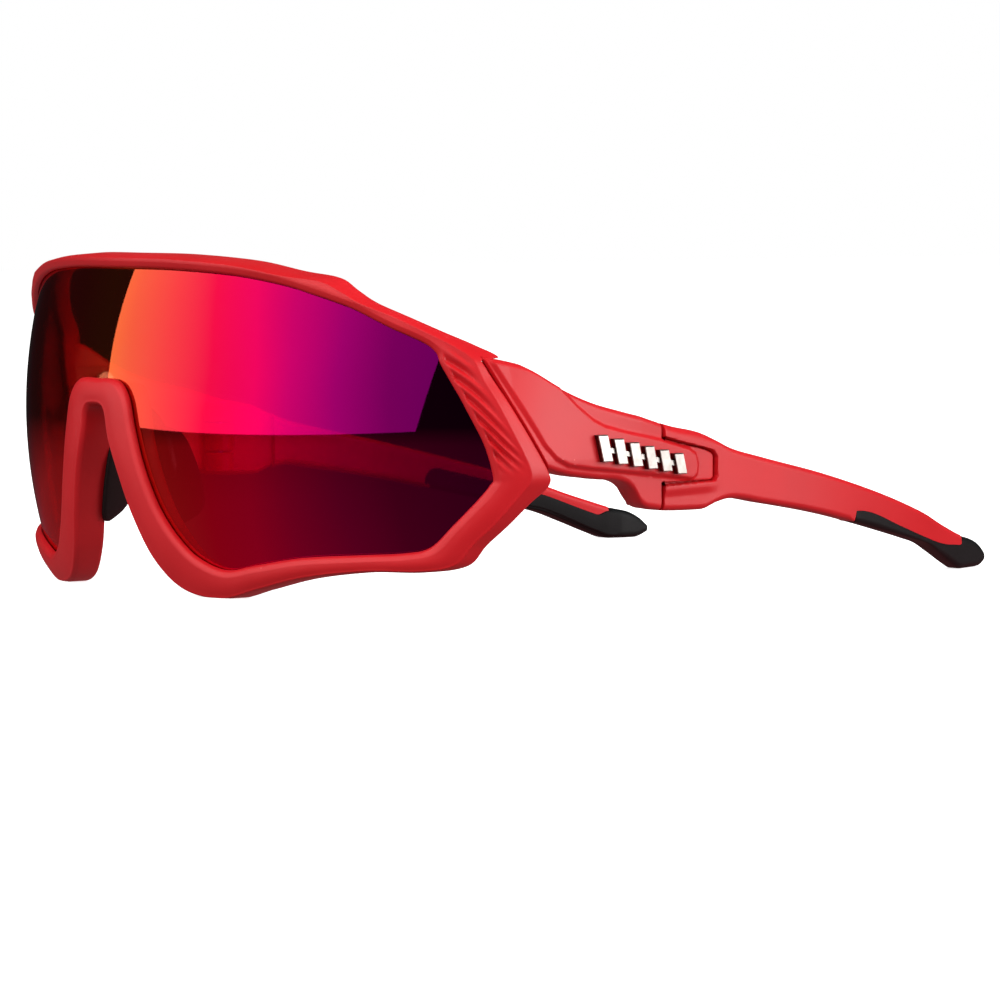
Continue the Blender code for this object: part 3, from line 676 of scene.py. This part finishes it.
# pocket in the temple's outer face that the tongue lies in, with a raised lip round it
slot = {
    "depth": 1.3,
    "lip": 0.35,
    "lipEnd": (76.0, 80.5),    # y over which the lip runs out
    "outline": [(64.0, 27.3), (66.2, 27.2), (71.3, 26.0), (76.5, 24.9), (78.3, 24.3), (79.0, 23.3),
                (79.1, 19.9), (78.6, 19.2), (68.0, 18.9), (64.0, 18.7)],
}
# top edge of the rubber strip on the outer side: y, z
stripLine = [(112.0, 3.0), (113.6, 5.0), (114.0, 12.4), (117.8, 12.0), (126.9, 9.1), (134.8, 6.7),
             (141.6, 5.0), (147.5, 4.4)]
arm = {"start": 67.0, "slotEnd": 82.0, "end": 148.4, "inside": 65.8}


def armRelief(y, z):
    if y > slot["lipEnd"][1]:
        return 0.0
    distance = outlineDistance(slot["outline"], y, z)
    lip = slot["lip"] * (1.0 - smooth(*slot["lipEnd"], y))
    pocket = (slot["depth"] + slot["lip"]) * smooth(-0.12, 0.12, distance)
    return lip * (smooth(-2.2, -0.6, distance) - 1.0) - pocket


def armInner(y):
    inner = curveAt(outerLine, y) - curveAt(thicknessLine, y)
    return max(inner, arm["inside"] if y < 80 else 0.0)      # clear of the hinge


def buildArm(body):
    start, middle, end = arm["start"], arm["slotEnd"], arm["end"]
    places = [start + (middle - start) * k / 90 for k in range(91)]
    places += [middle + (end - middle) * k / 120 for k in range(1, 121)]
    sections = []
    for y in places:
        top = curveAt(sideProfile, y, 1)
        bottom = curveAt(sideProfile, y, 2)
        if y > 113.6:
            bottom = max(bottom, curveAt(stripLine, y) - 0.1)
        closing = edgeRound(y - 66.85, 0.4)
        relief = (lambda y, z, closing=closing: armRelief(y, z) - closing)
        radii = (1.1, 1.1 - 0.9 * smooth(112.0, 114.0, y))
        sections.append(slabLoop((y, top), (y, bottom), relief, armInner(y), radii, outerSteps=90))
    skin(body, sections)
    addKnuckle(body, fold["midLow"], fold["midHigh"])
    bridge = []                # web from the knuckle to the temple
    for y, inner in ((66.9, 63.0), (70.6, 65.0)):
        corners = ((inner, fold["midLow"]), (inner, fold["midHigh"]),
                   (66.6, fold["midHigh"]), (66.6, fold["midLow"]))
        bridge.append(roundedLoop([(Vector((x, y, z)), 0.3) for x, z in corners], 3))
    skin(body, bridge)


bothSides("Arm", buildArm, [red], "arm", "{}_temple", sharp=42)


tip = {
    "start": 113.8, "end": 157.2,
    "cap": (148.0, 149.3),     # y over which the strip grows into the cap
    "proud": 0.08,             # how far the rubber stands out of the outer face
    "liningStart": 112.5, "liningEnd": 150.0, "liningProud": 0.35, "liningHeight": 0.58, "liningRise": 0.27,
}


def buildTip(body):        # grip strip along the lower edge, then the cap round the end
    strip = []
    places = [tip["start"] + 0.05 * k for k in range(1, 5)]
    places += [tip["start"] + 0.4 + 43.0 * k / 140 for k in range(141)]
    for y in places:
        y = min(y, tip["end"])
        top = curveAt(stripLine, y) + 0.1
        cap = smooth(*tip["cap"], y)
        top += (curveAt(sideProfile, y, 1) - top) * cap
        bottom = curveAt(sideProfile, y, 2)
        closing = edgeRound(y - tip["start"], 0.5) + edgeRound(tip["end"] + 0.3 - y, 1.6) * 0.6
        strip.append(slabLoop((y, top), (y, bottom), lambda y, z, c=closing: tip["proud"] - c,
                              radii=(0.25 + 1.1 * cap, 1.2), outerSteps=24))
    skin(body, strip)
    lining = []            # the rubber reaches higher on the side that grips the head
    for k in range(97):
        y = tip["liningStart"] + 0.1 + (tip["liningEnd"] - tip["liningStart"] - 0.1) * k / 96
        low, top = curveAt(sideProfile, y, 2) + 0.6, curveAt(sideProfile, y, 1)
        grow = math.sqrt(max(1.0 - (1.0 - min((y - tip["liningStart"]) / 3.0, 1.0)) ** 2, 0.01))
        share = tip["liningHeight"] * grow + tip["liningRise"] * smooth(146.0, 148.5, y)
        high = low + (top - low) * share
        face, sunk = armInner(y) - tip["liningProud"] * grow, armInner(y) + 0.6
        corners = ((face, low, 0.2), (face, high, 0.25), (sunk, high, 0.1), (sunk, low, 0.1))
        lining.append(roundedLoop([(Vector((x, y, z)), radius) for x, z, radius in corners], 5))
    skin(body, lining)


bothSides("TempleTip", buildTip, [rubber], "arm", "{}_temple_tip", sharp=48)
print("end pieces and temples built")


badge = {
    "bars": 6, "start": 50.6, "pitch": 3.4, "stand": 1.2, "barWidth": 2.1, "barHalf": 2.25,
    "barLess": 0.1,            # each bar is this much lower than the one before it, half to half
    "lean": 0.9, "bevel": 0.14,
    "spineSteps": 10, "spineLength": 17.0, "spineHalf": 0.42,
    "height": 26.0, "fall": 0.185,     # height of its middle at the front end, and its drop per millimetre
}


def badgeMiddle(y):
    return badge["height"] - badge["fall"] * (y - badge["start"] + 0.5)


def buildBadge(body):      # a plain row of slanted bars on a spine, each with bevelled edges
    def addBar(quad, stand, bevel):
        base = len(body.verts)
        for depth, shrink in ((0.1, 0.0), (stand - bevel, 0.0), (stand, bevel)):
            middle = sum((Vector(p) for p in quad), Vector((0.0, 0.0))) / 4
            for point in quad:
                toward = middle - Vector(point)
                moved = Vector(point) + toward.normalized() * shrink * 1.3
                body.verts.new((outerX(*moved) + depth, moved.x, moved.y))
        body.verts.ensure_lookup_table()
        row = [[body.verts[base + 4 * r + k] for k in range(4)] for r in range(3)]
        body.faces.new(row[0])
        body.faces.new(row[2]).material_index = 0
        # side walls take the second finish, the chrome darkened as painted shade; tops and bevels take the satin
        # chrome
        for lower, upper in ((row[0], row[1]), (row[1], row[2])):
            for k in range(4):
                made = body.faces.new((lower[k], lower[(k + 1) % 4], upper[(k + 1) % 4], upper[k]))
                made.material_index = 1 if lower is row[0] else 0

    steps, thin = badge["spineSteps"], badge["spineHalf"]
    for k in range(steps):
        y0, y1 = (badge["start"] + 1.6 + badge["spineLength"] * (k + share) / steps for share in (0.0, 1.0))
        z0, z1 = badgeMiddle(y0), badgeMiddle(y1)
        addBar([(y0, z0 - thin), (y0, z0 + thin), (y1, z1 + thin), (y1, z1 - thin)],
               badge["stand"] * 0.6, 0.02)
    lean, wide = badge["lean"], badge["barWidth"]
    for k in range(badge["bars"]):
        y = badge["start"] + 0.35 + badge["pitch"] * k
        z = badgeMiddle(y + lean)
        half = badge["barHalf"] - badge["barLess"] * k
        addBar([(y + lean, z - half), (y, z + half), (y + wide, z + half), (y + lean + wide, z - half)],
               badge["stand"], badge["bevel"])


bothSides("Badge", buildBadge, [badgeTop, badgeSidePaintedShade], "front", "{}_badge", sharp=20)


bracket = {"radius": 7.6, "spread": 2.2, "rise": 9.4, "height": 21.5, "y": 7.3, "legBack": 0.7,
           "half": 1.3, "thickness": 1.3, "edge": 0.35, "sweep": 100.0, "steps": 96}


def makeBracket():         # strap behind the nose arch, swept along half an ellipse on spreading legs
    body = bmesh.new()
    back = Vector((0.0, bracket["thickness"], 0.0))
    sections = []
    for k in range(bracket["steps"] + 1):
        share = 2.0 * k / bracket["steps"] - 1.0
        angle = share * math.radians(bracket["sweep"])
        outward = Vector((math.sin(angle), 0.0, math.cos(angle)))
        centre = Vector((bracket["radius"] * outward.x + share * bracket["spread"],
                         bracket["y"] + bracket["legBack"] * abs(share),
                         bracket["height"] + bracket["rise"] * outward.z))
        across = outward * (bracket["half"] - 0.5 * smooth(0.9, 1.0, abs(share)))
        corners = (centre - across, centre + across, centre + across + back, centre - across + back)
        sections.append(roundedLoop([(corner, bracket["edge"]) for corner in corners]))
    skin(body, sections)
    makePiece("noseBracket", body, [blackNylon], "front", ["nose_bracket"], sharp=60)


makeBracket()


pad = {
    "top": 28.4, "height": 16.6, "half": 3.1, "swell": 1.9, "halfThickness": 0.8,
    "x": 5.4, "spread": 5.6, "y": 8.7, "legBack": 1.2,     # where its top is, and how its lower end moves off
    "slope": 0.4,                                          # rise of its lower edge towards the back
    "lean": (0.42, 0.91),                                  # direction of its width in x and y
}
post = {"start": (8.6, 7.9, 23.4), "step": (0.2, 0.7, -0.3), "radius": 1.1, "taper": 0.1}


def buildPad(body):        # soft paddle turned towards the nose
    leanX, leanY = pad["lean"]
    wide, thick = Vector((leanX, leanY, 0.0)), Vector((-leanY, leanX, 0.0)) * pad["halfThickness"]
    sections = []
    for k in range(49):
        share = k / 48
        taper = max(math.sqrt(max(1.0 - (2.0 * share - 1.0) ** 10, 0.0)), 0.05)
        half = (pad["half"] + pad["swell"] * math.sin(math.pi * (0.12 + 0.7 * share))) * taper
        centre = Vector((pad["x"] + pad["spread"] * share ** 1.1, pad["y"] + pad["legBack"] * share,
                         pad["top"] - pad["height"] * share))
        across = (wide + Vector((0.0, 0.0, pad["slope"] * share))) * half
        ring = []
        for j in range(36):
            angle = 2 * math.pi * j / 36
            flat = abs(math.sin(angle)) ** 0.55 * math.copysign(1.0, math.sin(angle))
            ring.append(centre + across * math.cos(angle) + thick * flat * taper)
        sections.append(ring)
    skin(body, sections)


def buildPost(body):       # short post from bracket to pad
    sections = []
    for k in range(4):
        centre = Vector(post["start"]) + Vector(post["step"]) * k
        radius = post["radius"] - post["taper"] * k
        sections.append([centre + Vector((math.cos(angle), 0.0, math.sin(angle))) * radius
                         for angle in (2 * math.pi * j / 20 for j in range(20))])
    skin(body, sections)


for word in ("left", "right"):
    for stem, build, nodes, sharp in (("nosePad", buildPad, ["nose_pad_" + word], 60),
                                      ("nosePadPost", buildPost, [], 50)):
        body = bmesh.new()
        build(body)
        makePiece(stem + word.capitalize(), body, [rubber], "front", nodes, sharp,
                  mirror=word == "right")

for word in ("left", "right"):
    for part in ("end_piece_screw_upper", "end_piece_screw_lower", "hinge_screw", "hinge_nut"):
        node = frame["nodes"][word + "_" + part]
        for finishSlot in node.material_slots:
            finishSlot.link, finishSlot.material = "OBJECT", steel
        edge = node.modifiers.new("edge", "BEVEL")     # a machined edge is never quite sharp
        edge.width, edge.segments, edge.limit_method = 0.00012, 2, "ANGLE"
print("small parts dressed")


def facing(azimuth, elevation):        # unit vector; azimuth 0 is in front of the lens, 90 the wearer's left
    a, e = math.radians(azimuth), math.radians(elevation)
    return Vector((math.sin(a) * math.cos(e), -math.cos(a) * math.cos(e), math.sin(e)))


def makeStagePiece(name, body, material, hiddenFrom):      # floor or card, which isn't part of the glasses
    mesh = bpy.data.meshes.new(name)
    body.to_mesh(mesh)
    body.free()
    mesh.materials.append(material)
    piece = bpy.data.objects.new(name, mesh)
    for ray in hiddenFrom:
        setattr(piece, "visible_" + ray, False)
    bpy.context.scene.collection.objects.link(piece)
    return piece


floor = {"halfSize": 2.5, "below": 0.00005, "glow": 0.93}


def makeFloor():           # matte paper sweep; the lens mirrors the dark studio, not the paper
    material, tree, shader, place = newMaterial("paperSweep", {"Roughness": 0.85,
                                                               "Emission Strength": floor["glow"]})
    fibre = addNode(tree, "ShaderNodeTexNoise", {"Scale": 40.0, "Detail": 3.0}, {"Vector": place})
    paper = rampNode(tree, fibre.outputs["Fac"], [(0.3, srgb("f2f2f2")), (0.7, srgb("f6f6f6"))])
    tree.links.new(paper.outputs["Color"], shader.inputs["Base Color"])
    tree.links.new(paper.outputs["Color"], shader.inputs["Emission Color"])
    body = bmesh.new()
    bmesh.ops.create_grid(body, x_segments=2, y_segments=2, size=floor["halfSize"])
    sheet = makeStagePiece("floor", body, material, ("glossy", "transmission", "diffuse"))
    sheet.location.z = cadLow.z - floor["below"]


# azimuth, elevation, distance, width, height, watts, seen in reflections
lights = {
    "sideSoftbox": (118, 10, 1.1, 0.9, 0.8, 11.5, True),
    "topSoftbox": (40, 68, 1.2, 1.2, 1.2, 10, False),
    "frontFill": (15, 25, 1.5, 1.2, 0.8, 11, False),
    "rearFill": (-150, 30, 1.4, 1.0, 0.8, 5, False),
}
lightTarget = Vector((0.0, 0.0, 0.03))


def addLight(name, azimuth, elevation, distance, width, height, power, inMirror):
    data = bpy.data.lights.new(name, "AREA")
    data.shape = "RECTANGLE"
    data.size, data.size_y, data.energy = width, height, power
    light = bpy.data.objects.new(name, data)
    direction = facing(azimuth, elevation)
    light.location = lightTarget + direction * distance
    light.rotation_euler = (-direction).to_track_quat("-Z", "Y").to_euler()
    light.visible_glossy = inMirror
    light.visible_camera = False
    light.visible_transmission = False
    bpy.context.scene.collection.objects.link(light)


# metres: corners are sideways and up from the card's own middle
card = {"azimuth": -8.5, "distance": 1.2, "height": 0.03, "glow": 1.85,
        "corners": [(-1.17, -0.085), (1.10, -0.10), (1.66, 1.2), (-1.12, 1.2)]}


def makeCard():            # large lit cloth in front of the lens; only reflections see it
    material, tree, shader, place = newMaterial("litDiffuserCloth", {"Emission Strength": card["glow"]})
    shader.inputs["Base Color"].default_value = srgb("000000")
    weave = addNode(tree, "ShaderNodeTexNoise", {"Scale": 1.2, "Detail": 1.0}, {"Vector": place})
    cloth = rampNode(tree, weave.outputs["Fac"], [(0.3, (0.92, 0.92, 0.92, 1)), (0.7, (1, 1, 1, 1))])
    tree.links.new(cloth.outputs["Color"], shader.inputs["Emission Color"])
    middle = facing(card["azimuth"], 0) * card["distance"]
    sideways = facing(card["azimuth"] + 90, 0)
    body = bmesh.new()
    body.faces.new([body.verts.new(middle + sideways * u + Vector((0, 0, card["height"] + v)))
                    for u, v in card["corners"]])
    makeStagePiece("diffuserCard", body, material, ("camera", "diffuse", "transmission", "shadow"))


def makeWorld():           # white behind the glasses, weak fill, and a dark room in the reflections
    world = bpy.data.worlds.new("studio")
    world.use_nodes = True
    world.cycles.sampling_method = "NONE"
    bpy.context.scene.world = world
    tree = world.node_tree
    tree.nodes.clear()
    rays = addNode(tree, "ShaderNodeLightPath")
    seen = addNode(tree, "ShaderNodeBackground", {"Color": (1, 1, 1, 1), "Strength": 1.0})
    ambient = addNode(tree, "ShaderNodeBackground", {"Color": (1, 1, 1, 1), "Strength": 0.2})
    direction = addNode(tree, "ShaderNodeTexCoord").outputs["Generated"]
    rise = addNode(tree, "ShaderNodeSeparateXYZ", links={"Vector": direction})
    heights = addNode(tree, "ShaderNodeMapRange", {"From Min": -0.3, "From Max": 0.3},
                      {"Value": rise.outputs["Z"]})
    room = rampNode(tree, heights.outputs["Result"], [
        (0.0, (0.34, 0.10, 0.11, 1)), (0.42, (0.02, 0.018, 0.018, 1)), (0.30, (0.28, 0.07, 0.08, 1))])
    dark = addNode(tree, "ShaderNodeBackground", {"Strength": 1.0}, {"Color": room.outputs["Color"]})
    bounced = addNode(tree, "ShaderNodeMixShader", links={0: rays.outputs["Is Diffuse Ray"],
                                                          1: dark.outputs[0], 2: ambient.outputs[0]})
    final = addNode(tree, "ShaderNodeMixShader", links={0: rays.outputs["Is Camera Ray"],
                                                        1: bounced.outputs[0], 2: seen.outputs[0]})
    addNode(tree, "ShaderNodeOutputWorld", links={"Surface": final.outputs[0]})


view = {"aim": (0.01415, -0.00319, 0.01341), "azimuth": 53.32, "elevation": 3.545, "distance": 0.95,
        "roll": 0.154, "lens": 192.8}


def makeCamera():
    data = bpy.data.cameras.new("camera")
    data.lens = view["lens"]
    data.sensor_width = 36.0
    camera = bpy.data.objects.new("camera", data)
    back = facing(view["azimuth"], view["elevation"])
    camera.location = Vector(view["aim"]) + back * view["distance"]
    camera.rotation_mode = "QUATERNION"
    turn = (-back).to_track_quat("-Z", "Y")
    roll = Matrix.Rotation(math.radians(-view["roll"]), 4, "Z").to_quaternion()
    camera.rotation_quaternion = turn @ roll
    bpy.context.scene.collection.objects.link(camera)
    bpy.context.scene.camera = camera


makeFloor()
for name, settings in lights.items():
    addLight(name, *settings)
makeCard()
makeWorld()
makeCamera()
bpy.context.scene.view_settings.view_transform = "Standard"
print("stage set")
